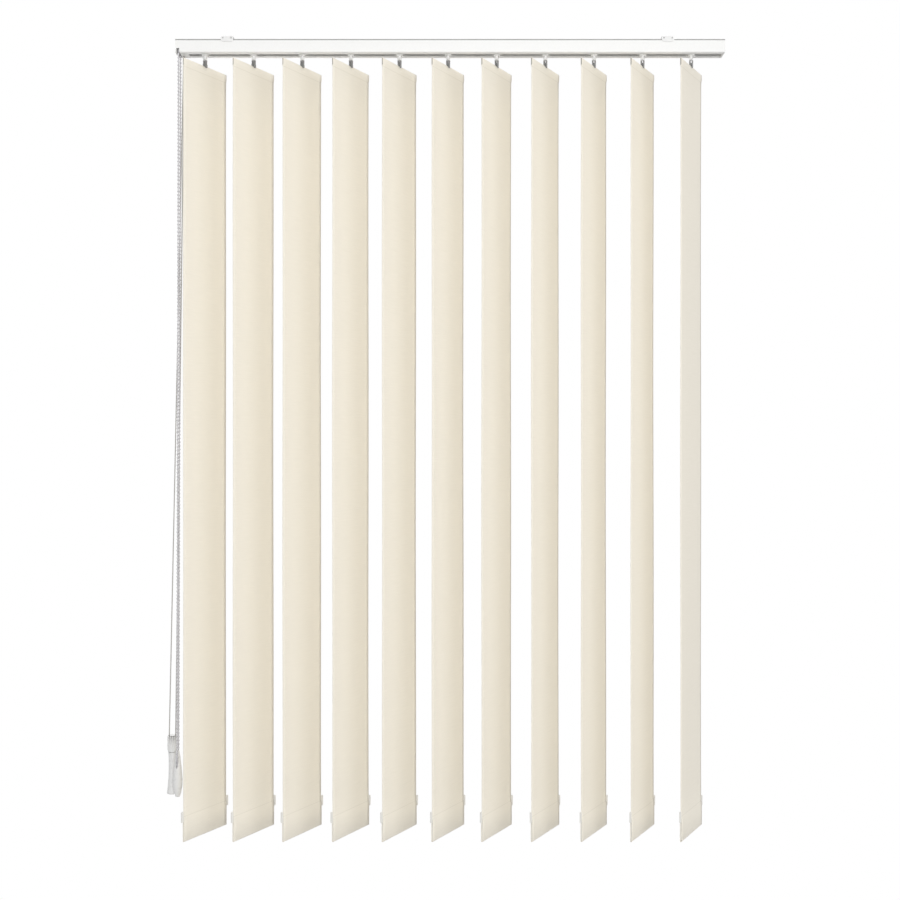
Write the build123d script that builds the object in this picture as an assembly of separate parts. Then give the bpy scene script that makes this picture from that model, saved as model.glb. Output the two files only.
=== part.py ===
from build123d import *
import math
import os

# Vertical blind, in millimetres: +X runs along the rail to the right, +Y away from the room, +Z up.
# The origin lies on the ceiling, midway between the screw holes of the two ceiling clips.

# Vanes: fabric strips with a pocket at the top and a hem at the bottom
vane_count = 11
vane_pitch = 79.0
vane_width = 89.0
vane_drop = 1246.0
vane_angle = 55.0
vane_gap = 18.0
fabric = 0.5
pocket_slack = 0.15
pocket_taper = 1.5
fold_round = 0.5
top_pocket = 13.0
hem_height = 40.0

# Headrail: slotted aluminium channel
rail_depth = 25.0
rail_height = 22.0
rail_wall = 1.4
rail_upper_corner = 1.0
rail_lower_corner = 2.6
rail_slot = 9.0
track_lip_height = 1.2
track_lip_wall = 0.9
first_gap = 26.0
last_gap = 49.0
rail_shift = 4.3

# Ceiling clips: spring channels with one screw hole each
clip_spread_share = 0.9
clip_width = 20.0
clip_plate = 1.6
clip_leg_wall = 1.1
clip_leg_corner = 4.0
clip_leg_lap = 2.6
clip_grip = 0.1
clip_bead_height = 1.0
clip_slot_width = 1.4
clip_slot_spread = 13.0
screw_hole_d = 4.5
screw_head_room = 2.4
groove_drop = 0.9
groove_height = 1.3
groove_depth = 0.8

# Running clearances
shaft_clear = 0.08
run_gap = 0.2
slide_gap = 0.4
seat_gap = 0.05
overrun = 2.0

# Draw cord and its pulleys
cord_d = 1.8
cord_roof_gap = 1.2
cord_carrier_gap = 1.0
front_run_y = 5.0
rear_run_y = 8.4
pulley_pitch_r = 4.0
pulley_width = 3.0
pulley_rim = 0.35
pulley_pin_d = 2.4
groove_gap = 0.1
pin_boss_wall = 1.0
return_pitch_r = 4.5
return_inset = 15.0
shelf_wall = 1.3

# Tilt rod and chain wheel
rod_d = 5.0
rod_y = -2.0
rod_cover = 2.1
rod_flutes = 4
rod_flute_d = 1.4
spigot_d = 3.6
wheel_width = 5.0
wheel_pockets = 6
bead_pitch = 6.0
chain_d = 3.6
pocket_gap = 0.25
wheel_gap = 0.3
wheel_lip = 0.6
cord_wheel_gap = 1.4

# End caps
cap_end_wall = 1.5
cap_wall = 1.2
cap_room = 1.4
cap_tab_length = 6.0
cap_tab_wall = 1.0
cap_tab_height = 9.0
cap_tab_gap = 0.1
cap_edge_round = 0.8
mouth_gap = 0.5
chain_notch_height = 7.0
far_plate = 3.0
journal_length = 5.0
journal_wall = 2.6

# Carriers: runners in the rail, one for each vane
carrier_length = 16.0
carrier_width = 15.0
carrier_edge_round = 0.8
shoe_height = 3.0
neck_length = 10.0
neck_drop = 1.2
neck_round = 1.5
chamber_wall = 0.7
strip_wall = 0.4
strip_height = 6.0
strip_step = 0.62
strip_levels = 5
strip_lap = 4.0
strip_drop = 0.8
foot_length = 8.0
foot_height = 2.6
tie_length = 5.0
tie_wall = 1.2

# Hooks: turning stems with two prongs and a peg
head_d = 7.4
head_height = 3.6
head_gap = 0.3
stem_d = 4.6
crown_height = 3.6
crown_gap = 5.0
prong_wall = 1.1
prong_width = 4.6
prong_tip_width = 3.0
prong_lap = 2.5
prong_gap = 0.3
peg_d = 2.0
peg_rise = 3.0

# Hanger plates: stiff strips in the top pockets, with an eye for the peg
plate_wall = 1.2
plate_inset = 0.2
eye_d = 2.6
eye_rim = 1.5
tab_width = 9.0
tab_corner = 3.0
tab_slot_gap = 0.4

# Hem weights: plates in the bottom hems, with an ear at each upper corner
weight_wall = 1.5
weight_inset = 1.0
weight_room = 2.0
weight_lift = 0.2
weight_corner = 2.0
ear_wall = 2.0
ear_reach = 3.6
ear_gap = 0.4
ear_neck = 5.0
ear_rise = 12.0
ear_round = 1.6

# Chain weight: teardrop with a saddle that the chain runs round
chain_weight_x = 2.9
chain_weight_y = -2.0
chain_weight_d = 15.0
chain_weight_height = 74.5
chain_weight_top_d = 5.4
chain_weight_end_d = 7.0
chain_weight_waist_share = 0.62
chain_weight_shoulder_shares = (0.74, 0.30)
saddle_r = 4.0
saddle_drop = 32.0
saddle_gap = 0.3
chain_drop = 1187.0
chain_join_gap = 0.2

# Cord weight: ribbed cap over a flared body
cord_weight_x = 20.7
cord_weight_y = 13.0
cord_weight_top = 1134.4
cord_cap_d = 14.2
cord_cap_height = 26.0
cord_cap_round = 1.5
cord_rib_d = 1.6
cord_rib_count = 14
cord_rib_top_gap = 0.8
cord_rib_end_gap = 3.0
cord_body_height = 69.0
cord_body_neck_d = 12.6
cord_joint_d = 10.4
cord_joint_height = 1.2
cord_body_end_d = 17.4
cord_body_waist_shares = (0.92, 0.45)
cord_body_round = 1.4
cord_turn_r = 5.4
cord_turn_depth = 16.0
cord_turn_gap = 0.3

# Heights that follow from those sizes
cord_r = cord_d / 2
rod_r = rod_d / 2
stem_r = stem_d / 2
head_r = head_d / 2
z_rail_top = -(clip_plate + screw_head_room)
z_rail_bottom = z_rail_top - rail_height
z_rail_mid = (z_rail_top + z_rail_bottom) / 2
z_roof = z_rail_top - rail_wall
z_floor = z_rail_bottom + rail_wall
z_cord = z_roof - cord_roof_gap - cord_r
z_pulley = z_cord - pulley_pitch_r
z_carrier_top = z_cord - cord_r - cord_carrier_gap
z_rod = z_carrier_top - rod_cover - rod_r
z_chamber_top = z_rod - rod_r - shaft_clear - chamber_wall
z_head_top = z_chamber_top - head_gap
z_head_bottom = z_head_top - head_height
z_chamber_floor = z_head_bottom - seat_gap
z_shoe = z_floor + run_gap
z_neck = z_rail_bottom - neck_drop
z_vane_top = z_rail_bottom - vane_gap
z_vane_bottom = z_vane_top - vane_drop
z_peg = z_vane_top + peg_rise
z_eye = z_peg + peg_d / 2 + seat_gap - eye_d / 2
z_tab_top = z_eye + eye_d / 2 + eye_rim
z_crown = z_tab_top + crown_gap
plate_height = top_pocket - pocket_taper - fabric - 2 * pocket_slack
weight_height = hem_height - pocket_taper - fabric - weight_lift - weight_room

# Places along the rail
pulley_flange_r = pulley_pitch_r + cord_r
cap_length = (cap_end_wall + wheel_gap + wheel_width + cord_wheel_gap + cord_r
              + pulley_pitch_r + pulley_flange_r + cap_room)
row_length = (vane_count - 1) * vane_pitch
clip_spacing = clip_spread_share * row_length
blind_length = cap_length + first_gap + row_length + last_gap + far_plate
x_left = rail_shift - blind_length / 2
x_rail_start = x_left + cap_length
x_first = x_rail_start + first_gap
x_rail_end = x_first + row_length + last_gap
x_right = x_rail_end + far_plate
x_wheel = x_left + cap_end_wall + wheel_gap + wheel_width / 2
x_cord = x_wheel + wheel_width / 2 + cord_wheel_gap + cord_r
x_pulley = x_cord + pulley_pitch_r
x_return = x_rail_end - return_inset
y_return = rear_run_y - return_pitch_r
wheel_pitch_r = bead_pitch / (2 * math.sin(math.pi / wheel_pockets))


def along_rail(section, start, end):
    """Extrude a section drawn as depth and height along the rail."""
    return extrude(Plane.YZ.offset(start) * section, amount=end - start)


def block(x, y, z):
    """A box from its two ends along each axis."""
    size = Box(x[1] - x[0], y[1] - y[0], z[1] - z[0])
    return Pos((x[0] + x[1]) / 2, (y[0] + y[1]) / 2, (z[0] + z[1]) / 2) * size


def rod_along(axis, radius, start, end, across):
    """A round bar along X, Y or Z, with its place on the other two axes."""
    middle = (start + end) / 2
    if axis == "x":
        return Pos(middle, across[0], across[1]) * Rot(0, 90, 0) * Cylinder(radius, end - start)
    if axis == "y":
        return Pos(across[0], middle, across[1]) * Rot(90, 0, 0) * Cylinder(radius, end - start)
    return Pos(across[0], across[1], middle) * Cylinder(radius, end - start)


def tube(path, radius):
    """A round cord swept along straight runs and arcs."""
    return sweep(Plane(origin=path @ 0, z_dir=path % 0) * Circle(radius), path=path)


def rail_outline():
    """The outside of the rail and of its end caps."""
    shape = Pos(0, z_rail_mid) * Rectangle(rail_depth, rail_height)
    shape = fillet(shape.vertices().sort_by(Axis.Y)[:2], rail_lower_corner)
    return fillet(shape.vertices().sort_by(Axis.Y)[-2:], rail_upper_corner)


def side_grooves(start, end):
    """The clip grooves along both sides of the rail and its end caps, as bars to cut with."""
    groove = Rectangle(2 * groove_depth, groove_height)
    height = z_rail_top - groove_drop - groove_height / 2
    bars = [Pos(side * rail_depth / 2, height) * groove for side in (1, -1)]
    return [along_rail(bar, start, end) for bar in bars]


def headrail():
    """Channel with a slotted floor, upturned track lips and a groove for the clips in each side."""
    section = rail_outline() - offset(rail_outline(), amount=-rail_wall)
    half_slot = rail_slot / 2
    lip_top = rail_wall + track_lip_height
    for side in (1, -1):
        lip = Rectangle(track_lip_wall, lip_top)
        section += Pos(side * (half_slot + track_lip_wall / 2), z_rail_bottom + lip_top / 2) * lip
    section -= Pos(0, z_rail_bottom) * Rectangle(rail_slot, 2 * lip_top + overrun)
    return along_rail(section, x_rail_start, x_rail_end) - side_grooves(x_rail_start, x_rail_end)


def ceiling_clip(side):
    """Spring channel: plate with a screw hole, and slotted legs whose beads snap into the rail's grooves."""
    half = rail_depth / 2 + clip_grip
    groove_z = z_rail_top - groove_drop - groove_height / 2
    leg_bottom = groove_z - groove_height / 2 - clip_leg_lap
    half_width = clip_width / 2
    outer = half + clip_leg_wall
    clip = block((-half_width, half_width), (-outer, outer), (-clip_plate, 0))
    for edge in (1, -1):
        leg_face = Pos(0, leg_bottom / 2) * Rectangle(clip_width, -leg_bottom)
        leg_face = fillet(leg_face.vertices().sort_by(Axis.Y)[:2], clip_leg_corner)
        leg = extrude(Plane.XZ * leg_face, amount=clip_leg_wall / 2, both=True)
        clip += Pos(0, edge * (half + clip_leg_wall / 2), 0) * leg
        bead = Rot(0, 90, 0) * Cylinder(clip_bead_height / 2, clip_width - 2 * clip_leg_corner)
        bead_y = half - groove_depth + clip_bead_height / 2
        clip += Pos(0, edge * bead_y, groove_z) * bead
        for end in (1, -1):
            slot = Box(clip_slot_width, 2 * clip_leg_wall, screw_head_room)
            slot_z = (z_rail_top - clip_plate) / 2
            clip -= Pos(end * clip_slot_spread / 2, edge * (half + clip_leg_wall / 2), slot_z) * slot
    clip -= Cylinder(screw_hole_d / 2, 2 * clip_plate + overrun)
    return Pos(side * clip_spacing / 2, 0, 0) * clip


def cap_tabs(inner, outer):
    """Two side tabs that plug an end cap into the rail, from inside the cap to inside the rail."""
    tab_outer = rail_depth / 2 - rail_wall - cap_tab_gap
    tab_inner = tab_outer - cap_tab_wall
    middle = z_roof - cap_tab_height
    height = (middle - cap_tab_height / 2, middle + cap_tab_height / 2)
    root = (min(outer, inner), max(outer, inner))
    tabs = []
    for side in (1, -1):
        across = sorted((side * tab_inner, side * tab_outer))
        tabs.append(block(root, across, height))
    return tabs


def control_cap():
    """Moulded end housing: chain mouth with its front notch, cord mouth, rod journal and pulley pin."""
    cap = along_rail(rail_outline(), x_left, x_rail_start)
    inside = offset(rail_outline(), amount=-cap_wall)
    cap -= along_rail(inside, x_left + cap_end_wall, x_rail_start + overrun)
    cap -= side_grooves(x_left + cap_end_wall, x_rail_start)
    cap -= rod_along("x", spigot_d / 2 + shaft_clear, x_left - overrun, x_left + 2 * cap_end_wall,
                     (rod_y, z_rod))
    front = -rail_depth / 2
    reach = wheel_pitch_r + chain_d / 2 + mouth_gap
    mouth_x = (x_wheel - chain_d / 2 - mouth_gap, x_wheel + chain_d / 2 + mouth_gap)
    below = z_rail_bottom - overrun
    cap -= block(mouth_x, (front - overrun, rod_y + reach), (below, z_rail_bottom + 2 * cap_wall))
    notch_top = z_rail_bottom + chain_notch_height
    cap -= block(mouth_x, (front - overrun, front + 2 * cap_wall), (below, notch_top))
    cord_half = cord_r + mouth_gap
    cap -= block((x_cord - cord_half, x_cord + cord_half),
                 (front_run_y - cord_half, rear_run_y + cord_half), (below, z_rail_bottom + 2 * cap_wall))
    back = rail_depth / 2 - cap_wall / 2
    pin_end = front_run_y - pulley_width / 2 - groove_gap
    cap += rod_along("y", pulley_pin_d / 2, pin_end, back, (x_pulley, z_pulley))
    boss_end = rear_run_y + pulley_width / 2 + run_gap
    cap += rod_along("y", pulley_pin_d / 2 + pin_boss_wall, boss_end, back, (x_pulley, z_pulley))
    tab_outer = rail_depth / 2 - rail_wall - cap_tab_gap
    for tab in cap_tabs(x_rail_start - cap_room, x_rail_start + cap_tab_length):
        cap += tab
    middle = z_roof - cap_tab_height
    for side in (1, -1):
        web = sorted((side * (tab_outer - cap_tab_wall), side * (rail_depth / 2 - cap_wall / 2)))
        cap += block((x_rail_start - cap_room, x_rail_start), web,
                     (middle - cap_tab_height / 2, middle + cap_tab_height / 2))
    return cap


def far_cap():
    """End plate with two plug tabs, the rod's far journal, and the shelf and pin of the return pulley."""
    cap = along_rail(rail_outline(), x_rail_end, x_right)
    cap = fillet(cap.faces().sort_by(Axis.X)[-1].edges(), cap_edge_round)
    cap -= side_grooves(x_rail_end, x_right - cap_edge_round)
    for tab in cap_tabs(x_rail_end - cap_tab_length, x_rail_end + far_plate / 2):
        cap += tab
    cap += rod_along("x", spigot_d / 2 + journal_wall, x_rail_end - journal_length,
                     x_rail_end + far_plate / 2, (rod_y, z_rod))
    pulley_bottom = z_cord - pulley_width / 2
    shelf_top = pulley_bottom - run_gap - slide_gap
    shelf = block((x_return - return_pitch_r, x_rail_end + far_plate / 2),
                  (rod_y, rear_run_y + cord_r), (shelf_top - shelf_wall, shelf_top))
    cap += shelf
    pin_r = pulley_pin_d / 2
    cap += rod_along("z", pin_r, shelf_top - shelf_wall / 2, z_cord + pulley_width / 2, (x_return, y_return))
    cap += rod_along("z", pin_r + pin_boss_wall, shelf_top - shelf_wall / 2, pulley_bottom - run_gap,
                     (x_return, y_return))
    cap -= rod_along("x", spigot_d / 2 + shaft_clear, x_rail_end - journal_length - overrun,
                     x_rail_end, (rod_y, z_rod))
    return cap


def pulley(pitch_r):
    """Grooved wheel about Z, with its groove sized to the cord."""
    half = pulley_width / 2
    bore_r = pulley_pin_d / 2 + shaft_clear
    flange_r = pitch_r + cord_r
    root_r = pitch_r - cord_r - groove_gap
    groove_half = cord_r + groove_gap
    points = [(bore_r, -half), (flange_r, -half), (flange_r, pulley_rim - half),
              (root_r, -groove_half), (root_r, groove_half),
              (flange_r, half - pulley_rim), (flange_r, half), (bore_r, half)]
    return revolve(Plane.XZ * make_face(Polyline(points, close=True)), axis=Axis.Z)


def control_pulley(run_y):
    """One of the two pulleys that turn the draw cord down out of the control cap."""
    return Pos(x_pulley, run_y, z_pulley) * Rot(90, 0, 0) * pulley(pulley_pitch_r)


def tilt_rod():
    """Fluted rod through every carrier, with a round spigot at each end."""
    section = Circle(rod_r) - PolarLocations(rod_r, rod_flutes) * Circle(rod_flute_d / 2)
    rod_start = x_left + cap_end_wall + seat_gap
    rod_end = x_rail_end - journal_length - seat_gap
    rod = along_rail(Pos(rod_y, z_rod) * section, rod_start, rod_end)
    rod += rod_along("x", spigot_d / 2, x_left + cap_tab_gap, rod_start, (rod_y, z_rod))
    return rod + rod_along("x", spigot_d / 2, rod_end, x_rail_end - seat_gap, (rod_y, z_rod))


def chain_wheel():
    """Wheel with a square groove for the bead chain and a pocket for each bead."""
    groove_r = chain_d / 2 + pocket_gap
    bore_r = rod_r + seat_gap
    outer_r = wheel_pitch_r + wheel_lip
    section = Pos((bore_r + outer_r) / 2, 0) * Rectangle(outer_r - bore_r, wheel_width)
    section -= Pos(wheel_pitch_r, 0) * Rectangle(2 * groove_r, 2 * groove_r)
    wheel = revolve(Plane.XZ * section, axis=Axis.Z)
    pocket = Rot(0, 90, 0) * Cylinder(groove_r + pocket_gap, 2 * groove_r)
    wheel -= PolarLocations(wheel_pitch_r, wheel_pockets) * pocket
    return Pos(x_wheel, rod_y, z_rod) * Rot(0, 90, 0) * wheel


def carrier(number):
    """Runner with two shoes on the rail's floor, a neck through the slot, and bores for the rod and the stem.

    All but the last carry a spacer strip that reaches past the next carrier; the last grips the draw cord."""
    half = carrier_length / 2
    half_width = carrier_width / 2
    body = block((-half, half), (-half_width, half_width), (z_shoe, z_carrier_top))
    body = fillet(body.edges().filter_by(Axis.Z), carrier_edge_round)
    lip_side = rail_slot / 2 + track_lip_wall + slide_gap
    shoe_side = rail_depth / 2 - rail_wall - slide_gap
    shoe = block((-half, half), (-shoe_side, shoe_side), (z_shoe, z_shoe + shoe_height))
    shoe_round = rail_lower_corner - rail_wall + slide_gap
    body += fillet(shoe.edges().filter_by(Axis.X).sort_by(Axis.Z)[:2], shoe_round)
    lip_room = track_lip_height + slide_gap
    past = (-half - overrun, half + overrun)
    body -= block(past, (-lip_side, lip_side), (z_shoe - overrun, z_floor + lip_room))
    neck_half = rail_slot / 2 - slide_gap
    neck = block((-neck_length / 2, neck_length / 2), (-neck_half, neck_half),
                 (z_neck, z_floor + 2 * lip_room))
    body += fillet(neck.edges().filter_by(Axis.Z), neck_round)
    body -= rod_along("x", rod_r + shaft_clear, -half - overrun, half + overrun, (rod_y, z_rod))
    body -= rod_along("z", stem_r + shaft_clear, z_neck - overrun, z_head_top, (0, 0))
    window = head_r + head_gap
    body -= block((-window, window), (-window, half_width + overrun), (z_chamber_floor, z_chamber_top))
    if number < vane_count:
        level = number % strip_levels
        strip_y = -half_width - strip_drop / 2 - strip_wall / 2 - level * strip_step
        strip_top = z_carrier_top - strip_drop
        strip_low = strip_top - strip_height
        across = (strip_y - strip_wall / 2, strip_y + strip_wall / 2)
        body += block((-foot_length / 2, vane_pitch + strip_lap), across, (strip_low, strip_top))
        foot = (-foot_length / 2, foot_length / 2)
        body += block(foot, across, (strip_low - foot_height, strip_low))
        body += block(foot, (across[0], -half_width), (strip_low - foot_height, strip_low - slide_gap))
    else:
        tie_half = cord_r + tie_wall + groove_gap
        tie_x = (-tie_length / 2, tie_length / 2)
        tie_top = z_cord + cord_r
        tie = block(tie_x, (rear_run_y - tie_half, rear_run_y + tie_half),
                    (z_carrier_top - tie_wall, tie_top))
        slot_half = cord_r + groove_gap
        tie -= block((-tie_length, tie_length), (rear_run_y - slot_half, rear_run_y + slot_half),
                     (z_cord - slot_half, tie_top + overrun))
        body += tie
    return body


def hook():
    """Turning stem: a head held in the carrier, two prongs that straddle the hanger plate, and their peg."""
    prong_inner = plate_wall / 2 + pocket_slack + fabric + prong_gap
    prong_outer = prong_inner + prong_wall
    stem = rod_along("z", head_r, z_head_bottom, z_head_top, (0, 0))
    stem += rod_along("z", stem_r, z_crown + crown_height / 2, z_head_bottom, (0, 0))
    crown = block((-prong_width / 2, prong_width / 2), (-prong_outer, prong_outer),
                  (z_crown, z_crown + crown_height))
    stem += fillet(crown.edges().filter_by(Axis.X).sort_by(Axis.Z)[-2:], prong_wall)
    tip = z_vane_top - prong_lap
    face = make_face(Polyline([(-prong_width / 2, z_crown), (prong_width / 2, z_crown),
                               (prong_tip_width / 2, tip), (-prong_tip_width / 2, tip)], close=True))
    for side in (1, -1):
        prong = extrude(Plane.XZ * face, amount=prong_wall / 2, both=True)
        stem += Pos(0, side * (prong_inner + prong_wall / 2), 0) * prong
    return stem + rod_along("y", peg_d / 2, -prong_inner, prong_inner, (0, z_peg))


def hanger_plate():
    """Stiff strip in the top pocket, with an eye on a raised tab."""
    half = vane_width / 2 - plate_inset
    plate_top = z_vane_top - fabric - pocket_slack
    plate = block((-half, half), (-plate_wall / 2, plate_wall / 2), (plate_top - plate_height, plate_top))
    tab_face = Pos(0, (z_tab_top + plate_top) / 2) * Rectangle(tab_width, z_tab_top - plate_top)
    tab_face = fillet(tab_face.vertices().sort_by(Axis.Y)[-2:], tab_corner)
    plate += extrude(Plane.XZ * tab_face, amount=plate_wall / 2, both=True)
    return plate - rod_along("y", eye_d / 2, -plate_wall, plate_wall, (0, z_eye))


def vane():
    """Fabric strip folded over the hanger plate at the top and round the weight at the bottom."""
    half = fabric / 2
    top_half = plate_wall / 2 + pocket_slack
    hem_half = weight_wall / 2 + pocket_slack
    z_pocket = z_vane_top - top_pocket
    z_hem = z_vane_bottom + hem_height
    right = [(top_half, z_vane_top), (top_half + fabric, z_vane_top - fold_round),
             (top_half + fabric, z_pocket + pocket_taper), (half, z_pocket),
             (half, z_hem), (hem_half + fabric, z_hem - pocket_taper),
             (hem_half + fabric, z_vane_bottom + fold_round), (hem_half, z_vane_bottom)]
    left = [(-y, z) for y, z in reversed(right)]
    section = make_face(Polyline(right + left, close=True))
    z_fold = z_vane_top - fabric
    upper = [(-top_half, z_fold), (top_half, z_fold), (top_half, z_pocket + pocket_taper),
             (-top_half, z_pocket + pocket_taper)]
    z_base = z_vane_bottom + fabric
    lower = [(-hem_half, z_base), (hem_half, z_base), (hem_half, z_hem - pocket_taper),
             (-hem_half, z_hem - pocket_taper)]
    section -= make_face(Polyline(upper, close=True))
    section -= make_face(Polyline(lower, close=True))
    strip = along_rail(section, -vane_width / 2, vane_width / 2)
    slot_half = tab_width / 2 + tab_slot_gap
    return strip - block((-slot_half, slot_half), (-top_half, top_half),
                         (z_fold - fabric, z_vane_top + fabric))


def hem_weight():
    """Plate in the bottom hem, with an ear that rises past the hem at each upper corner."""
    half = vane_width / 2 - weight_inset
    z_low = z_vane_bottom + fabric + weight_lift
    z_high = z_low + weight_height
    face = Pos(0, (z_low + z_high) / 2) * Rectangle(2 * half, weight_height)
    face = fillet(face.vertices().sort_by(Axis.Y)[:2], weight_corner)
    plate = extrude(Plane.XZ * face, amount=weight_wall / 2, both=True)
    ear_start = vane_width / 2 + ear_gap
    ear_end = ear_start + ear_reach
    for side in (1, -1):
        neck_x = sorted((side * (half - ear_neck), side * ear_end))
        plate += block(neck_x, (-weight_wall / 2, weight_wall / 2), (z_high - ear_neck, z_high))
        ear_height = ear_neck + ear_rise
        ear = Pos(side * (ear_start + ear_end) / 2, z_high - ear_neck + ear_height / 2)
        ear_face = ear * RectangleRounded(ear_reach, ear_height, ear_round)
        plate += extrude(Plane.XZ * ear_face, amount=ear_wall / 2, both=True)
    return plate


def chain_route():
    """Endless bead chain: round the wheel, down to the weight's saddle and up again, joined half way up."""
    low_x = x_wheel - chain_weight_x
    low = -chain_drop
    top = z_rod + wheel_pitch_r
    front_low = Vector(low_x, chain_weight_y - saddle_r, low)
    back_low = Vector(low_x, chain_weight_y + saddle_r, low)
    front_top = Vector(x_wheel, rod_y - wheel_pitch_r, top)
    back_top = Vector(x_wheel, rod_y + wheel_pitch_r, top)
    join = (back_low + back_top) / 2
    start = join - (back_top - back_low).normalized() * chain_join_gap
    low_turn = saddle_r - seat_gap
    top_turn = wheel_pitch_r - seat_gap
    points = [start, back_low, front_low, front_top, back_top, join]
    return FilletPolyline(points, radius=[low_turn, low_turn, top_turn, top_turn])


def chain_weight():
    """Turned teardrop, grooved where the chain runs down its sides and through it."""
    low_x = x_wheel - chain_weight_x
    top = -chain_drop + saddle_drop
    end = top - chain_weight_height
    waist = top - chain_weight_height * chain_weight_waist_share
    radius = chain_weight_d / 2
    shoulder_z = top - chain_weight_height * chain_weight_shoulder_shares[1]
    shoulder = (radius * chain_weight_shoulder_shares[0], shoulder_z)
    taper = ThreePointArc((chain_weight_top_d / 2, top), shoulder, (radius, waist))
    side = taper + TangentArc((radius, waist), (chain_weight_end_d / 2, end), tangent=taper % 1)
    edge = Polyline((chain_weight_end_d / 2, end), (0, end), (0, top), (chain_weight_top_d / 2, top))
    body = revolve(Plane.XZ * make_face(side + edge), axis=Axis.Z)
    body = Pos(low_x, chain_weight_y, 0) * body
    return body - tube(chain_route(), chain_d / 2 + saddle_gap)


def cord_route():
    """Draw cord outside the rail: down to the weight, round inside its cap and up again."""
    low_x = x_cord - cord_weight_x
    low = -cord_weight_top - cord_turn_depth
    left_low = Vector(low_x - cord_turn_r, cord_weight_y, low)
    right_low = Vector(low_x + cord_turn_r, cord_weight_y, low)
    top = z_rail_bottom - seat_gap
    left_top = Vector(x_cord, front_run_y, top)
    right_top = Vector(x_cord, rear_run_y, top)
    return FilletPolyline([left_top, left_low, right_low, right_top], radius=cord_turn_r - seat_gap)


def rail_cord_route():
    """Draw cord inside the rail: over one pulley, along to the return pulley, back, and over the other."""
    far = x_return + return_pitch_r
    points = [(x_cord, front_run_y, z_rail_bottom), (x_cord, front_run_y, z_cord),
              (far, y_return - return_pitch_r, z_cord), (far, y_return + return_pitch_r, z_cord),
              (x_cord, rear_run_y, z_cord), (x_cord, rear_run_y, z_rail_bottom)]
    turn = return_pitch_r - seat_gap
    return FilletPolyline(points, radius=[pulley_pitch_r, turn, turn, pulley_pitch_r])


def cord_weight_cap():
    """Ribbed cap that the cord runs through."""
    low_x = x_cord - cord_weight_x
    middle = -cord_weight_top - cord_cap_height / 2
    cap = Cylinder(cord_cap_d / 2, cord_cap_height)
    cap = fillet(cap.edges().filter_by(GeomType.CIRCLE).sort_by(Axis.Z)[-1], cord_cap_round)
    rib_height = cord_cap_height - cord_rib_top_gap - cord_rib_end_gap
    rib_lift = (cord_rib_end_gap - cord_rib_top_gap) / 2
    rib = Pos(0, 0, rib_lift) * Cylinder(cord_rib_d / 2, rib_height)
    cap += PolarLocations(cord_cap_d / 2, cord_rib_count) * rib
    cap = Pos(low_x, cord_weight_y, middle) * cap
    return cap - tube(cord_route(), cord_r + cord_turn_gap)


def cord_weight():
    """Flared body of the weight, necked in where its cap sits."""
    low_x = x_cord - cord_weight_x
    top = -cord_weight_top - cord_cap_height
    end = top - cord_body_height
    neck_r = cord_body_neck_d / 2
    waist = (neck_r * cord_body_waist_shares[0], top - cord_body_height * cord_body_waist_shares[1])
    joint_r = cord_joint_d / 2
    shoulder = top - cord_joint_height
    side = ThreePointArc((neck_r, shoulder), waist, (cord_body_end_d / 2, end))
    edge = Polyline((cord_body_end_d / 2, end), (0, end), (0, top), (joint_r, top), (joint_r, shoulder),
                    (neck_r, shoulder))
    body = revolve(Plane.XZ * make_face(side + edge), axis=Axis.Z)
    body = fillet(body.edges().filter_by(GeomType.CIRCLE).sort_by(Axis.Z)[0], cord_body_round)
    return Pos(low_x, cord_weight_y, 0) * body


nodes = {
    "headrail": headrail(),
    "ceiling_clip_left": ceiling_clip(-1),
    "ceiling_clip_right": ceiling_clip(1),
    "control_cap": control_cap(),
    "far_cap": far_cap(),
    "tilt_rod": tilt_rod(),
    "chain_wheel": chain_wheel(),
    "front_cord_pulley": control_pulley(front_run_y),
    "rear_cord_pulley": control_pulley(rear_run_y),
    "return_pulley": Pos(x_return, y_return, z_cord) * pulley(return_pitch_r),
    "rail_cord": tube(rail_cord_route(), cord_r),
    "bead_chain": tube(chain_route(), chain_d / 2),
    "chain_weight": chain_weight(),
    "pull_cord": tube(cord_route(), cord_r),
    "cord_weight_cap": cord_weight_cap(),
    "cord_weight": cord_weight(),
}

hook_solid = hook()
plate_solid = hanger_plate()
vane_solid = vane()
weight_solid = hem_weight()
for number in range(1, vane_count + 1):
    x_pivot = x_first + (number - 1) * vane_pitch
    turned = Pos(x_pivot, 0, 0) * Rot(0, 0, vane_angle)
    nodes[f"carrier_{number:02d}"] = Pos(x_pivot, 0, 0) * carrier(number)
    nodes[f"hook_{number:02d}"] = Compound(children=[turned * hook_solid, turned * plate_solid])
    nodes[f"vane_{number:02d}"] = turned * vane_solid
    nodes[f"weight_{number:02d}"] = turned * weight_solid

os.makedirs("parts", exist_ok=True)
for name, solid in nodes.items():
    export_step(solid, f"parts/{name}.step")

# A cord's solid holds its section times its length
routes = {"bead_chain": (chain_route(), chain_d / 2), "pull_cord": (cord_route(), cord_r),
          "rail_cord": (rail_cord_route(), cord_r)}
for name, (route, radius) in routes.items():
    share = nodes[name].volume / (math.pi * radius**2 * route.length)
    print(f"{name}: length {route.length:.1f} mm, volume share {share:.4f}")
print(f"first pivot {x_first:.2f}, rail {x_left:.2f} to {x_right:.2f}")
print(f"vane {z_vane_bottom:.1f} to {z_vane_top:.1f}, clip holes {clip_spacing:.1f} apart")
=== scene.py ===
# A ceiling-fixed vertical blind: headrail, tilt drive, draw cord and eleven hanging fabric vanes.
import math

import bmesh
import bpy
from mathutils import Matrix, Vector


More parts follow.
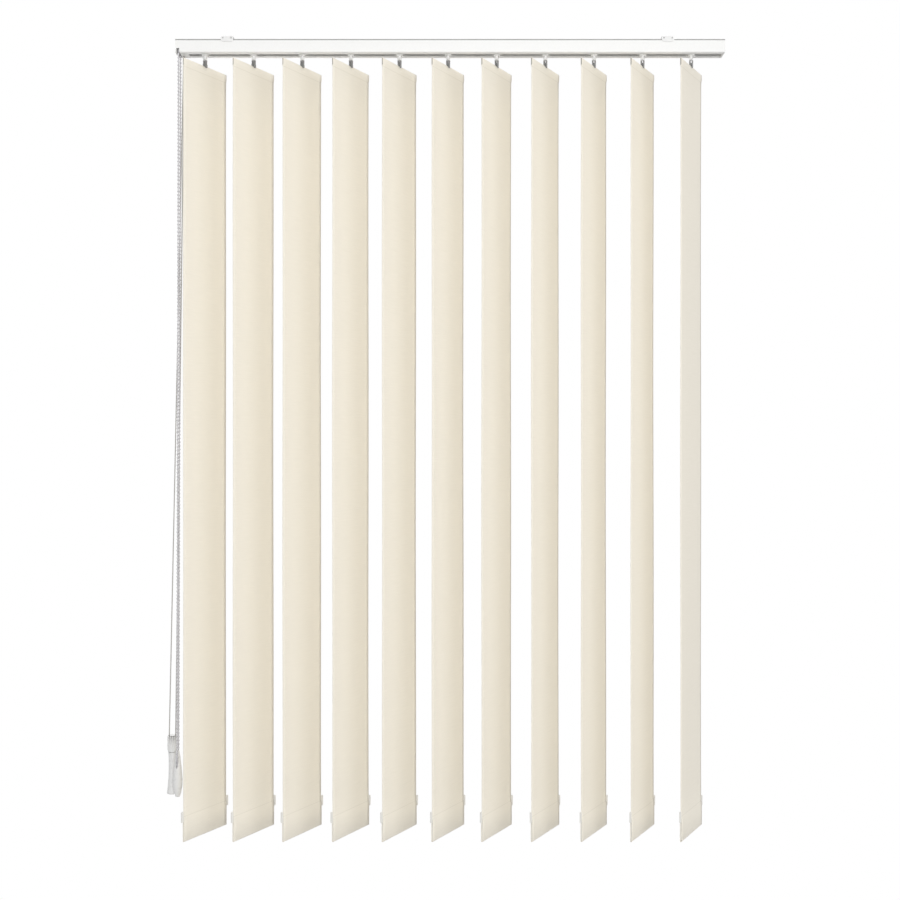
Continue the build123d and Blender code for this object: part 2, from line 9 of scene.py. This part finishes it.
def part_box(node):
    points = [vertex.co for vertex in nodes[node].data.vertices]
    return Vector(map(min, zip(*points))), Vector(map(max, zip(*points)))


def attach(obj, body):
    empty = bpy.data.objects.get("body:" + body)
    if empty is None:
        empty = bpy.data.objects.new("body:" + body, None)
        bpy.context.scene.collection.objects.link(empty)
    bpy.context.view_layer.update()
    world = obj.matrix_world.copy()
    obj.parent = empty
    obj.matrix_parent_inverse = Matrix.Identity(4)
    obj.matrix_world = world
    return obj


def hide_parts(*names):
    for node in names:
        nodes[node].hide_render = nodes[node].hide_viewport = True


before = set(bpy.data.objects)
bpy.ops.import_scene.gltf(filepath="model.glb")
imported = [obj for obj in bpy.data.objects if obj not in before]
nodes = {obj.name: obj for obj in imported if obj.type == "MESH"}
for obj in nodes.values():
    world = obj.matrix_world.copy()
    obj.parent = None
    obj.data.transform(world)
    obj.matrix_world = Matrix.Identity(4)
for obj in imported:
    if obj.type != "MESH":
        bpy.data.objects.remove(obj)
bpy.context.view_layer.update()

# Headrail
# A slim aluminium extrusion with a slot in its floor, sprayed with white enamel and baked.
# The enamel lies a little uneven, so its satin shine breaks up softly along the rail. The groove under the
# top edge is painted grey as painted shade, and the lip above it carries a lighter painted shade.
MM = 0.001
rail_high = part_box("headrail")[1]
groove_drop = 0.9 * MM
groove_height = 1.3 * MM
groove_depth = 0.8 * MM
groove_top = rail_high[2] - groove_drop
edge_slack = 0.03 * MM
# Painted shade: grey for the groove under the top edge, lighter grey for the lip above it.
groove_painted_shade = "#A2A2A0"
lip_painted_shade = "#CCCCCA"
enamel_shades = ("#F1F1EF", "#F7F7F6")
enamel_grain = 3.0 * MM
enamel_relief = 0.03 * MM
even = (1.0, 1.0, 1.0)
grain_detail = 3.0
grain_strength = 0.35
grain_low, grain_high = 0.3, 0.7
gloss_spread = 0.06


def srgb(code):
    """Linear RGBA of an sRGB hex colour."""
    channels = [int(code[i:i + 2], 16) / 255 for i in (1, 3, 5)]
    return (*[c / 12.92 if c <= 0.04045 else ((c + 0.055) / 1.055) ** 2.4 for c in channels], 1.0)


def add_node(tree, kind, settings, links):
    """Add a shader node, set its properties and sockets, and link its inputs from other sockets."""
    node = tree.nodes.new(kind)
    for key, value in settings.items():
        if isinstance(key, int) or key in node.inputs:
            node.inputs[key].default_value = value
        else:
            setattr(node, key, value)
    for key, source in links.items():
        tree.links.new(source, node.inputs[key])
    return node


def new_finish(name, **sockets):
    """A material with one Principled shader whose constant sockets are set."""
    material = bpy.data.materials.new(name)
    material.use_nodes = True
    shader = material.node_tree.nodes["Principled BSDF"]
    for key, value in sockets.items():
        shader.inputs[key.replace("_", " ").title().replace("Ior", "IOR")].default_value = value
    return material, material.node_tree, shader


def speckle(tree, shader, size, stretch, shades, relief):
    """Vary a finish with noise of a given size: colour between two shades, a fine relief and its gloss."""
    place = add_node(tree, "ShaderNodeTexCoord", {}, {}).outputs["Object"]
    spread = add_node(tree, "ShaderNodeMapping", {"Scale": stretch}, {"Vector": place}).outputs["Vector"]
    grain = add_node(tree, "ShaderNodeTexNoise", {"Scale": 1 / size, "Detail": grain_detail},
                     {"Vector": spread}).outputs["Fac"]
    shade = add_node(tree, "ShaderNodeMix", {"data_type": "RGBA", 6: srgb(shades[0]), 7: srgb(shades[1])},
                     {0: grain})
    tree.links.new(shade.outputs[2], shader.inputs["Base Color"])
    bump = add_node(tree, "ShaderNodeBump", {"Strength": grain_strength, "Distance": relief},
                    {"Height": grain})
    tree.links.new(bump.outputs["Normal"], shader.inputs["Normal"])
    dull = shader.inputs["Roughness"].default_value
    gloss = add_node(tree, "ShaderNodeMapRange",
                     {"From Min": grain_low, "From Max": grain_high,
                      "To Min": dull - gloss_spread, "To Max": dull + gloss_spread}, {"Value": grain})
    tree.links.new(gloss.outputs["Result"], shader.inputs["Roughness"])


def paint_top_edge_shade(tree, shader):
    """Paint shade into the groove under the rail's top edge, and a lighter painted shade onto the lip above
    it.
    """
    shade = shader.inputs["Base Color"].links[0].from_socket
    place = add_node(tree, "ShaderNodeTexCoord", {}, {}).outputs["Object"]
    axes = add_node(tree, "ShaderNodeSeparateXYZ", {}, {"Vector": place}).outputs
    from_middle = add_node(tree, "ShaderNodeMath", {"operation": "ABSOLUTE"}, {0: axes["Y"]}).outputs[0]
    groove_face = rail_high[1] - groove_depth
    outside = add_node(tree, "ShaderNodeMath", {"operation": "GREATER_THAN", 1: groove_face - edge_slack},
                       {0: from_middle}).outputs[0]
    for level, edge_shade in ((groove_top - groove_height, groove_painted_shade), (groove_top, lip_painted_shade)):
        above = add_node(tree, "ShaderNodeMath", {"operation": "GREATER_THAN", 1: level - edge_slack},
                         {0: axes["Z"]}).outputs[0]
        shaded_edge = add_node(tree, "ShaderNodeMath", {"operation": "MULTIPLY"}, {0: above, 1: outside}).outputs[0]
        shade = add_node(tree, "ShaderNodeMix", {"data_type": "RGBA", 7: srgb(edge_shade)},
                         {0: shaded_edge, 6: shade}).outputs[2]
    tree.links.new(shade, shader.inputs["Base Color"])


def dress(names, material):
    """Give carried-over nodes their finish."""
    for name in names:
        nodes[name].data.materials.clear()
        nodes[name].data.materials.append(material)


white_enamel, tree, shader = new_finish("baked_white_enamel", roughness=0.36, ior=1.5)
speckle(tree, shader, enamel_grain, even, enamel_shades, enamel_relief)
# Painted shade line along the groove under the top edge and on the lip above it.
paint_top_edge_shade(tree, shader)
dress(["headrail"], white_enamel)

# Ceiling clips
# Two spring-steel channels, pressed from strip and enamelled pale grey, that snap over the rail's edges.
# The thin coat leaves their rolled grain faintly visible.
clip_shades = ("#E6E6E5", "#F0F0EF")
rolled_grain = 1.2 * MM
rolled_relief = 0.03 * MM
rolled_stretch = (0.15, 1.0, 1.0)
clip_enamel, tree, shader = new_finish("enamelled_spring_steel", roughness=0.42, ior=1.5)
speckle(tree, shader, rolled_grain, rolled_stretch, clip_shades, rolled_relief)
dress(["ceiling_clip_left", "ceiling_clip_right"], clip_enamel)

# End caps, carriers, pulleys and chain wheel
# Injection-moulded white acetal and ABS, pushed into the rail's ends or running inside it.
# The mould's spark-eroded surface gives them a dull, even grain. The caps take the rail's painted shade line.
moulding_shades = ("#F1F1EF", "#F7F7F6")
mould_grain = 0.8 * MM
mould_relief = 0.03 * MM
white_moulding, tree, shader = new_finish("moulded_white_abs", roughness=0.5, ior=1.53)
speckle(tree, shader, mould_grain, even, moulding_shades, mould_relief)
# Painted shade under the top edge, as on the rail.
paint_top_edge_shade(tree, shader)
dress(["control_cap", "far_cap", "chain_wheel", "front_cord_pulley", "rear_cord_pulley", "return_pulley"],
      white_moulding)
vane_count = sum(name.startswith("vane_") for name in nodes)
tags = [f"{number:02d}" for number in range(1, vane_count + 1)]
dress([f"carrier_{tag}" for tag in tags], white_moulding)

# Tilt rod
# A drawn aluminium rod with four flutes, left as it came from the die, turning in the end caps.
# Drawing leaves fine lines along its length.
aluminium_shades = ("#BFC0C2", "#D6D7D8")
draw_line = 0.6 * MM
draw_relief = 0.02 * MM
draw_stretch = (0.01, 1.0, 1.0)
mill_aluminium, tree, shader = new_finish("drawn_mill_aluminium", metallic=1.0, roughness=0.34)
speckle(tree, shader, draw_line, draw_stretch, aluminium_shades, draw_relief)
dress(["tilt_rod"], mill_aluminium)

# Draw cord
# One braided polyester cord runs inside the rail over three pulleys and hangs from the control end in a
# loop. Its plaited yarns cross on the slant and catch the light as tiny diamonds.
# The plait is drawn coarser than a real one, so that it shows.
cord_diameter = 1.8 * MM
rail_cord_length = 1.768
loop_length = 2.255
rail_run = [(-430.3, 5, -26), (-430.3, 5, -7.5), (-419.5, 4.9, -7.5), (423.7, -0.5, -7.5),
            (434.5, -0.6, -7.5), (434.5, 8.4, -7.5), (423.7, 8.4, -7.5), (-419.5, 8.4, -7.5),
            (-430.3, 8.4, -7.5), (-430.3, 8.4, -26)]
hanging_run = [(-430.3, 5, -26.05), (-430.6, 5.1, -36.8), (-456.1, 12.9, -1139.6), (-456.4, 13, -1150.4),
               (-445.6, 13, -1150.4), (-445.7, 12.9, -1139.6), (-430.4, 8.4, -36.8), (-430.3, 8.4, -26.05)]


def route_spline(name, points, diameter):
    """A cord along its route's control points, given in millimetres."""
    curve = bpy.data.curves.new(name, "CURVE")
    curve.dimensions = "3D"
    spline = curve.splines.new("NURBS")
    spline.points.add(len(points) - 1)
    for control, place in zip(spline.points, points):
        control.co = (*(MM * c for c in place), 1.0)
    spline.order_u = 3
    spline.use_endpoint_u = True
    spline.resolution_u = 16
    curve.bevel_depth = diameter / 2
    curve.bevel_resolution = 3
    curve.use_fill_caps = True
    piece = bpy.data.objects.new(name, curve)
    bpy.context.scene.collection.objects.link(piece)
    return piece


# A wave texture of scale 1 repeats after this length.
unit_wave = math.tau / 20
plait = 1.6 * MM
plait_relief = 0.15 * MM
plait_strength = 0.5
plait_waver = 0.3
yarn_lean = math.radians(35)
yarn_shades = ("#9C9A97", "#C4C2BF")
gap_roughness, yarn_roughness = 0.82, 0.68
cord_braid, tree, shader = new_finish("braided_polyester", roughness=0.75, ior=1.5, sheen_weight=0.2)
place = add_node(tree, "ShaderNodeTexCoord", {}, {}).outputs["Object"]
slants = []
for lean in (yarn_lean, -yarn_lean):
    turned = add_node(tree, "ShaderNodeMapping", {"Rotation": (0.0, lean, 0.0)}, {"Vector": place})
    band = add_node(tree, "ShaderNodeTexWave",
                    {"bands_direction": "Z", "Scale": unit_wave / plait, "Distortion": plait_waver},
                    {"Vector": turned.outputs["Vector"]})
    slants.append(band.outputs["Fac"])
crossing = add_node(tree, "ShaderNodeMath", {"operation": "MAXIMUM"}, {0: slants[0], 1: slants[1]}).outputs[0]
shade = add_node(tree, "ShaderNodeMix",
                 {"data_type": "RGBA", 6: srgb(yarn_shades[0]), 7: srgb(yarn_shades[1])}, {0: crossing})
tree.links.new(shade.outputs[2], shader.inputs["Base Color"])
bump = add_node(tree, "ShaderNodeBump", {"Strength": plait_strength, "Distance": plait_relief},
                {"Height": crossing})
tree.links.new(bump.outputs["Normal"], shader.inputs["Normal"])
gloss = add_node(tree, "ShaderNodeMapRange", {"To Min": gap_roughness, "To Max": yarn_roughness},
                 {"Value": crossing})
tree.links.new(gloss.outputs["Result"], shader.inputs["Roughness"])

loop_weights = [nodes["cord_weight_cap"], nodes["cord_weight"]]
cords = (("draw_cord_in_rail", "rail_cord", rail_run, rail_cord_length, []),
         ("draw_cord_loop", "pull_cord", hanging_run, loop_length, loop_weights))
for name, node, run, length, hung in cords:
    piece = route_spline(name, run, cord_diameter)
    piece.data.materials.append(cord_braid)
    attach(piece, "rail")
    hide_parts(node)

# Bead chain
# Glossy moulded beads on a polyester thread, joined into one loop over the chain wheel.
# Each bead is a small ball, and the thread shows in the gaps.
bead_diameter = 3.6 * MM
bead_pitch = 6.0 * MM
bead_sides, bead_rings = 8, 5
thread_diameter = 1.8 * MM
chain_run = [(-436.55, 3, -597.5), (-437.95, 2.04, -1165.4), (-438.0, 2, -1187), (-438.0, -6, -1187),
             (-437.95, -6.04, -1165.4), (-435.15, -7.96, -29.6), (-435.1, -8, -8), (-435.1, 4, -8),
             (-435.15, 3.98, -29.6), (-436.55, 3, -597.3)]
thread = route_spline("chain_thread", chain_run, thread_diameter)
thread_mesh = bpy.data.meshes.new_from_object(thread)
thread.data.bevel_depth = 0
line_mesh = bpy.data.meshes.new_from_object(thread)
line = [vert.co.copy() for vert in line_mesh.vertices]
bpy.data.objects.remove(thread)
runs = [(b - a).length for a, b in zip(line, line[1:])]
bead_count = round(sum(runs) / bead_pitch)
spacing = sum(runs) / bead_count
beads = bmesh.new()
beads.from_mesh(thread_mesh)
travelled, due = 0.0, spacing / 2
for start, end, run in zip(line, line[1:], runs):
    while due <= travelled + run:
        middle = start.lerp(end, (due - travelled) / run)
        bmesh.ops.create_uvsphere(beads, u_segments=bead_sides, v_segments=bead_rings,
                                  radius=bead_diameter / 2, matrix=Matrix.Translation(middle))
        due += spacing
    travelled += run
for face in beads.faces:
    face.smooth = True
chain_mesh = bpy.data.meshes.new("bead_chain_loop")
beads.to_mesh(chain_mesh)
beads.free()
bead_chain = bpy.data.objects.new("bead_chain_loop", chain_mesh)
bpy.context.scene.collection.objects.link(bead_chain)

bead_shades = ("#C6C5CA", "#D5D4D8")
bead_patch = 2.0 * MM
bead_relief = 0.02 * MM
pearl, tree, shader = new_finish("moulded_pearl_beads", roughness=0.22, ior=1.49, coat_weight=0.3)
speckle(tree, shader, bead_patch, even, bead_shades, bead_relief)
chain_mesh.materials.append(pearl)
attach(bead_chain, "rail")
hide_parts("bead_chain")

# Chain weight and cord weight
# Moulded pale weights: a teardrop that the chain runs through, and a ribbed cap on a flared body.
# They have the mould's polish, dulled a little by handling. Painted shade darkens the hollows between the
# cap's ribs, more towards its top, and the joint below it.
weight_shades = ("#E4E4E3", "#EFEFEE")
handled_patch = 6.0 * MM
handled_relief = 0.02 * MM
# Painted shade colour for the cap's rib hollows and its joint.
rib_painted_shade = "#8F8E8C"
painted_shade_reach = 15.0 * MM
flute_radius = 7.2 * MM
joint_height = 1.2 * MM
joint_painted_shade = 0.6
cap_low, cap_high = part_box("cord_weight_cap")
cap_axis = ((cap_low[0] + cap_high[0]) / 2, (cap_low[1] + cap_high[1]) / 2, 0.0)
level_only = (1.0, 1.0, 0.0)
weight_moulding, tree, shader = new_finish("polished_pale_moulding", roughness=0.3, ior=1.5)
speckle(tree, shader, handled_patch, even, weight_shades, handled_relief)
polished = shader.inputs["Base Color"].links[0].from_socket
place = add_node(tree, "ShaderNodeTexCoord", {}, {}).outputs["Object"]
height = add_node(tree, "ShaderNodeSeparateXYZ", {}, {"Vector": place}).outputs["Z"]
plan = add_node(tree, "ShaderNodeMapping", {"Scale": level_only}, {"Vector": place}).outputs["Vector"]
radius = add_node(tree, "ShaderNodeVectorMath", {"operation": "DISTANCE", 1: cap_axis},
                  {0: plan}).outputs["Value"]
sunken = add_node(tree, "ShaderNodeMath", {"operation": "LESS_THAN", 1: flute_radius}, {0: radius}).outputs[0]
# Painted shade: the rib hollows darken towards the cap's top, and the joint below the cap darkens as well.
toward_cap_top = add_node(tree, "ShaderNodeMapRange",
                  {"From Min": cap_high[2] - painted_shade_reach, "From Max": cap_high[2]},
                  {"Value": height}).outputs["Result"]
in_joint = add_node(tree, "ShaderNodeMath",
                    {"operation": "COMPARE", 1: cap_low[2] - joint_height / 2, 2: joint_height / 2},
                    {0: height}).outputs[0]
cap_shade_share = add_node(tree, "ShaderNodeMath", {"operation": "MULTIPLY_ADD", 1: joint_painted_shade},
                   {0: in_joint, 2: toward_cap_top}).outputs[0]
cap_shade_amount = add_node(tree, "ShaderNodeMath", {"operation": "MULTIPLY"}, {0: sunken, 1: cap_shade_share}).outputs[0]
shaded_moulding = add_node(tree, "ShaderNodeMix", {"data_type": "RGBA", 7: srgb(rib_painted_shade)}, {0: cap_shade_amount, 6: polished})
tree.links.new(shaded_moulding.outputs[2], shader.inputs["Base Color"])
dress(["chain_weight", "cord_weight_cap", "cord_weight"], weight_moulding)

# Hooks and hanger plates
# Each carrier holds a turning hook of clear-grey polycarbonate, whose peg carries the plate in a vane's top.
# Its crown is milky; below it the prongs and the plate turn smoke grey: the plastic's grey plus painted
# shade.
vane_bottom, vane_top = (corner[2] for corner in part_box("vane_01"))
milky_above = vane_top + 10.5 * MM
smoke_and_shade_below = vane_top + 8.5 * MM
milk_shades = ("#E9E9E8", "#F4F4F3")
smoke_and_painted_shade = "#8C8C8B"
cloud = 2.5 * MM
cloud_relief = 0.02 * MM
hook_moulding, tree, shader = new_finish("clear_grey_polycarbonate", roughness=0.25, ior=1.58)
speckle(tree, shader, cloud, even, milk_shades, cloud_relief)
milky = shader.inputs["Base Color"].links[0].from_socket
place = add_node(tree, "ShaderNodeTexCoord", {}, {}).outputs["Object"]
height = add_node(tree, "ShaderNodeSeparateXYZ", {}, {"Vector": place}).outputs["Z"]
# Painted shade together with the plastic's own grey: milky at the crown, smoke grey lower down under the
# rail.
shade_below_crown = add_node(tree, "ShaderNodeMapRange", {"From Min": milky_above, "From Max": smoke_and_shade_below},
                    {"Value": height}).outputs["Result"]
smoked_and_shaded = add_node(tree, "ShaderNodeMix", {"data_type": "RGBA", 7: srgb(smoke_and_painted_shade)}, {0: shade_below_crown, 6: milky})
tree.links.new(smoked_and_shaded.outputs[2], shader.inputs["Base Color"])
dress([f"hook_{tag}" for tag in tags], hook_moulding)

# Hem weights
# Flat plates in the vanes' bottom hems, pressed from white board-filled plastic, with an ear at each side.
# Their sawn edges are a little rough.
hem_weight_shades = ("#E9E8E3", "#F3F2EE")
pressed_grain = 1.0 * MM
pressed_relief = 0.04 * MM
hem_moulding, tree, shader = new_finish("pressed_white_plastic", roughness=0.55, ior=1.5)
speckle(tree, shader, pressed_grain, even, hem_weight_shades, pressed_relief)
dress([f"weight_{tag}" for tag in tags], hem_moulding)

# Vanes
# Cream polyester cloth, woven plain and stiffened, cut into strips and hung from the hooks. Each strip is
# folded over its hanger plate and round its weight, and welded across below the one and above the other.
# The weave is drawn at nearly twice the real thread spacing, so that it shows.
cloth_width = 89.0 * MM
cloth_wall = 0.45 * MM
top_pocket = 13.0 * MM
hem = 40.0 * MM
plate_room = 0.78 * MM
weight_room = 0.93 * MM
weld_gap = 0.08 * MM
slope = 3.5 * MM
fold = 0.7 * MM
tab_half = 4.9 * MM
vane_angle = math.radians(55)
bow = 0.9 * MM
bow_level = 0.5
ripple_share = 0.4
ripple_turn = 9.0
ripple_shift = 1.7
across_steps = 14
drop_steps = 40
on_plane = 1e-7
weld_top = vane_top - top_pocket
weld_hem = vane_bottom + hem


def hang_vane(tag):
    """One folded strip of cloth, modelled flat along X and turned about its pivot."""
    low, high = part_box(f"vane_{tag}")
    pivot = (low[0] + high[0]) / 2
    top, bottom = vane_top - cloth_wall, vane_bottom + cloth_wall
    inner = cloth_wall / 2
    path = [(inner + weld_gap, weld_top), (plate_room, weld_top + slope), (plate_room, top - fold),
            (plate_room / 2, top), (-plate_room / 2, top), (-plate_room, top - fold),
            (-plate_room, weld_top + slope), (inner, weld_top), (inner, weld_hem),
            (-weight_room, weld_hem - slope), (-weight_room, bottom + fold), (-weight_room / 2, bottom),
            (weight_room / 2, bottom), (weight_room, bottom + fold), (weight_room, weld_hem - slope),
            (inner + weld_gap, weld_hem)]
    cloth = bmesh.new()
    verts = [cloth.verts.new((-cloth_width / 2, y, z)) for y, z in path]
    edges = [cloth.edges.new(pair) for pair in zip(verts, verts[1:])]
    long = [edge for edge in edges if edge.calc_length() > hem]
    bmesh.ops.subdivide_edges(cloth, edges=long, cuts=drop_steps)
    edges = list(cloth.edges)
    for _ in range(across_steps):
        grown = bmesh.ops.extrude_edge_only(cloth, edges=edges)["geom"]
        moved = [item for item in grown if isinstance(item, bmesh.types.BMVert)]
        fresh = set(moved)
        bmesh.ops.translate(cloth, verts=moved, vec=(cloth_width / across_steps, 0, 0))
        edges = [item for item in grown if isinstance(item, bmesh.types.BMEdge) and set(item.verts) <= fresh]
    for side in (-tab_half, tab_half):
        bmesh.ops.bisect_plane(cloth, geom=[*cloth.verts, *cloth.edges, *cloth.faces], dist=on_plane,
                               plane_co=(side, 0, 0), plane_no=(1, 0, 0))
    slot = [face for face in cloth.faces
            if abs(face.calc_center_median().x) < tab_half and face.calc_center_median().z > top - fold]
    bmesh.ops.delete(cloth, geom=slot, context="FACES")
    for vert in cloth.verts:
        down = (weld_top - vert.co.z) / (weld_top - weld_hem)
        if 0 < down < 1:
            swell = math.sqrt(math.sin(math.pi * down))
            across = 2 * vert.co.x / cloth_width
            ripple = math.sin(int(tag) * ripple_shift + ripple_turn * down) * across * ripple_share
            vert.co.y += swell * bow * (across * across - bow_level + ripple)
    bmesh.ops.recalc_face_normals(cloth, faces=cloth.faces)
    weave = cloth.loops.layers.uv.new("weave")
    for face in cloth.faces:
        for loop in face.loops:
            loop[weave].uv = (loop.vert.co.x, loop.vert.co.z)
        face.smooth = True
    bmesh.ops.rotate(cloth, verts=cloth.verts, cent=(0, 0, 0), matrix=Matrix.Rotation(vane_angle, 3, "Z"))
    bmesh.ops.translate(cloth, verts=cloth.verts, vec=(pivot, 0, 0))
    mesh = bpy.data.meshes.new(f"cloth_{tag}")
    cloth.to_mesh(mesh)
    cloth.free()
    piece = bpy.data.objects.new(f"cloth_{tag}", mesh)
    bpy.context.scene.collection.objects.link(piece)
    wall = piece.modifiers.new("wall", "SOLIDIFY")
    wall.thickness = cloth_wall
    wall.offset = 1.0
    return piece


cream_shades = ("#F0EADC", "#F7F1E4")
weld_shade = "#ECE6D8"
weld_height = 1.2 * MM
thread_gap = 0.9 * MM
thread_share = 0.6
slub_height = 1.6 * MM
slub_stretch = (0.06, 1.0, 1.0)
slub_detail = 2.0
weave_relief = 0.12 * MM
weave_strength = 0.3
gap_roughness, thread_roughness = 0.88, 0.76
woven_cream, tree, shader = new_finish("woven_cream_polyester", roughness=0.82, ior=1.46, sheen_weight=0.15)
flat_place = add_node(tree, "ShaderNodeUVMap", {"uv_map": "weave"}, {}).outputs["UV"]
warp, weft = (add_node(tree, "ShaderNodeTexWave", {"bands_direction": axis, "Scale": unit_wave / thread_gap},
                       {"Vector": flat_place}).outputs["Fac"] for axis in "XY")
threads = add_node(tree, "ShaderNodeMath", {"operation": "MULTIPLY"}, {0: warp, 1: weft}).outputs[0]
long_place = add_node(tree, "ShaderNodeMapping", {"Scale": slub_stretch}, {"Vector": flat_place})
slub = add_node(tree, "ShaderNodeTexNoise", {"Scale": 1 / slub_height, "Detail": slub_detail},
                {"Vector": long_place.outputs["Vector"]}).outputs["Fac"]
height = add_node(tree, "ShaderNodeSeparateXYZ", {}, {"Vector": flat_place}).outputs["Y"]
lines = [add_node(tree, "ShaderNodeMath", {"operation": "COMPARE", 1: weld_z, 2: weld_height / 2},
                  {0: height}).outputs[0] for weld_z in (weld_top, weld_hem)]
weld = add_node(tree, "ShaderNodeMath", {"operation": "ADD"}, {0: lines[0], 1: lines[1]}).outputs[0]
plain = add_node(tree, "ShaderNodeMix",
                 {"data_type": "RGBA", 6: srgb(cream_shades[0]), 7: srgb(cream_shades[1])}, {0: slub})
pressed = add_node(tree, "ShaderNodeMix", {"data_type": "RGBA", 7: srgb(weld_shade)},
                   {0: weld, 6: plain.outputs[2]})
tree.links.new(pressed.outputs[2], shader.inputs["Base Color"])
raised = add_node(tree, "ShaderNodeMath", {"operation": "MULTIPLY_ADD", 1: thread_share},
                  {0: threads, 2: slub}).outputs[0]
sunk = add_node(tree, "ShaderNodeMath", {"operation": "SUBTRACT"}, {0: raised, 1: weld}).outputs[0]
bump = add_node(tree, "ShaderNodeBump", {"Strength": weave_strength, "Distance": weave_relief},
                {"Height": sunk})
tree.links.new(bump.outputs["Normal"], shader.inputs["Normal"])
gloss = add_node(tree, "ShaderNodeMapRange", {"To Min": gap_roughness, "To Max": thread_roughness},
                 {"Value": threads})
tree.links.new(gloss.outputs["Result"], shader.inputs["Roughness"])

for tag in tags:
    piece = hang_vane(tag)
    piece.data.materials.append(woven_cream)
    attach(piece, f"slat_{tag}")
    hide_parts(f"vane_{tag}")

# Studio
# A pale paper floor well below the blind, which keeps its shadow and fades to the white of the room, soft
# boxes in front and behind, and a camera straight ahead at the height of the vanes' middle.
floor_z = -2.2
floor_half = 6.0
shadow_reach = 0.5
white_reach = 1.6
shadow_veil = 0.6
paper_shades = ("#A9A9A9", "#AFAFAF")
paper_fibre = 200.0 * MM
paper_relief = 0.0
plain_white = (1.0, 1.0, 1.0, 1.0)


def seen_directly(tree):
    """One where a surface is seen, also by reflection or through plastic, and nought for its own light."""
    path_kind = add_node(tree, "ShaderNodeLightPath", {}, {}).outputs
    seen = path_kind["Is Camera Ray"]
    for kind in ("Is Glossy Ray", "Is Transmission Ray"):
        seen = add_node(tree, "ShaderNodeMath", {"operation": "MAXIMUM"},
                        {0: seen, 1: path_kind[kind]}).outputs[0]
    return seen


pale_paper, tree, shader = new_finish("pale_paper", roughness=0.9)
speckle(tree, shader, paper_fibre, even, paper_shades, paper_relief)
place = add_node(tree, "ShaderNodeTexCoord", {}, {}).outputs["Object"]
reach = add_node(tree, "ShaderNodeVectorMath", {"operation": "DISTANCE", 1: (0.0, 0.0, floor_z)},
                 {0: place}).outputs["Value"]
fade = add_node(tree, "ShaderNodeMapRange",
                {"From Min": shadow_reach, "From Max": white_reach, "To Min": shadow_veil},
                {"Value": reach}).outputs["Result"]
share = add_node(tree, "ShaderNodeMath", {"operation": "MULTIPLY"},
                 {0: seen_directly(tree), 1: fade}).outputs[0]
white = add_node(tree, "ShaderNodeEmission", {"Color": plain_white, "Strength": 1.0}, {})
blend = add_node(tree, "ShaderNodeMixShader", {}, {0: share, 1: shader.outputs[0], 2: white.outputs[0]})
tree.links.new(blend.outputs[0], tree.nodes["Material Output"].inputs["Surface"])
board = bmesh.new()
bmesh.ops.create_grid(board, x_segments=1, y_segments=1, size=floor_half)
bmesh.ops.translate(board, verts=board.verts, vec=(0, 0, floor_z))
mesh = bpy.data.meshes.new("floor")
board.to_mesh(mesh)
board.free()
mesh.materials.append(pale_paper)
floor = bpy.data.objects.new("floor", mesh)
bpy.context.scene.collection.objects.link(floor)

room_light = 0.46
room = bpy.data.worlds.new("soft_room")
bpy.context.scene.world = room
room.use_nodes = True
tree = room.node_tree
soft = tree.nodes["Background"]
soft.inputs["Color"].default_value = plain_white
soft.inputs["Strength"].default_value = room_light
white = add_node(tree, "ShaderNodeBackground", {"Color": plain_white, "Strength": 1.0}, {})
blend = add_node(tree, "ShaderNodeMixShader", {},
                 {0: seen_directly(tree), 1: soft.outputs[0], 2: white.outputs[0]})
tree.links.new(blend.outputs[0], tree.nodes["World Output"].inputs["Surface"])

lit_point = Vector((0.0, 0.0, -0.65))
lamps = (("key", (0.5, -4.0, 0.0), 1.8, 73.0), ("side", (5.7, -4.0, 0.2), 4.6, 92.0),
         ("fill", (-2.2, -2.2, 0.4), 1.6, 9.0), ("back", (-1.6, 3.6, -0.1), 2.5, 50.0),
         ("top", (0.2, 0.7, 2.4), 2.0, 22.0))
for name, place, size, power in lamps:
    lamp = bpy.data.lights.new(name, "AREA")
    lamp.shape = "SQUARE"
    lamp.size = size
    lamp.energy = power
    light = bpy.data.objects.new(name, lamp)
    light.location = place
    light.rotation_euler = (lit_point - Vector(place)).to_track_quat("-Z", "Y").to_euler()
    light.visible_camera = False
    bpy.context.scene.collection.objects.link(light)

eye_place = (0.004, -1.585, -0.6673)
eye = bpy.data.cameras.new("eye")
eye.sensor_width = 36.0
eye.lens = 39.0
camera = bpy.data.objects.new("eye", eye)
camera.location = eye_place
camera.rotation_euler = (math.pi / 2, 0, 0)
bpy.context.scene.collection.objects.link(camera)
bpy.context.scene.camera = camera
bpy.context.scene.view_settings.view_transform = "Standard"
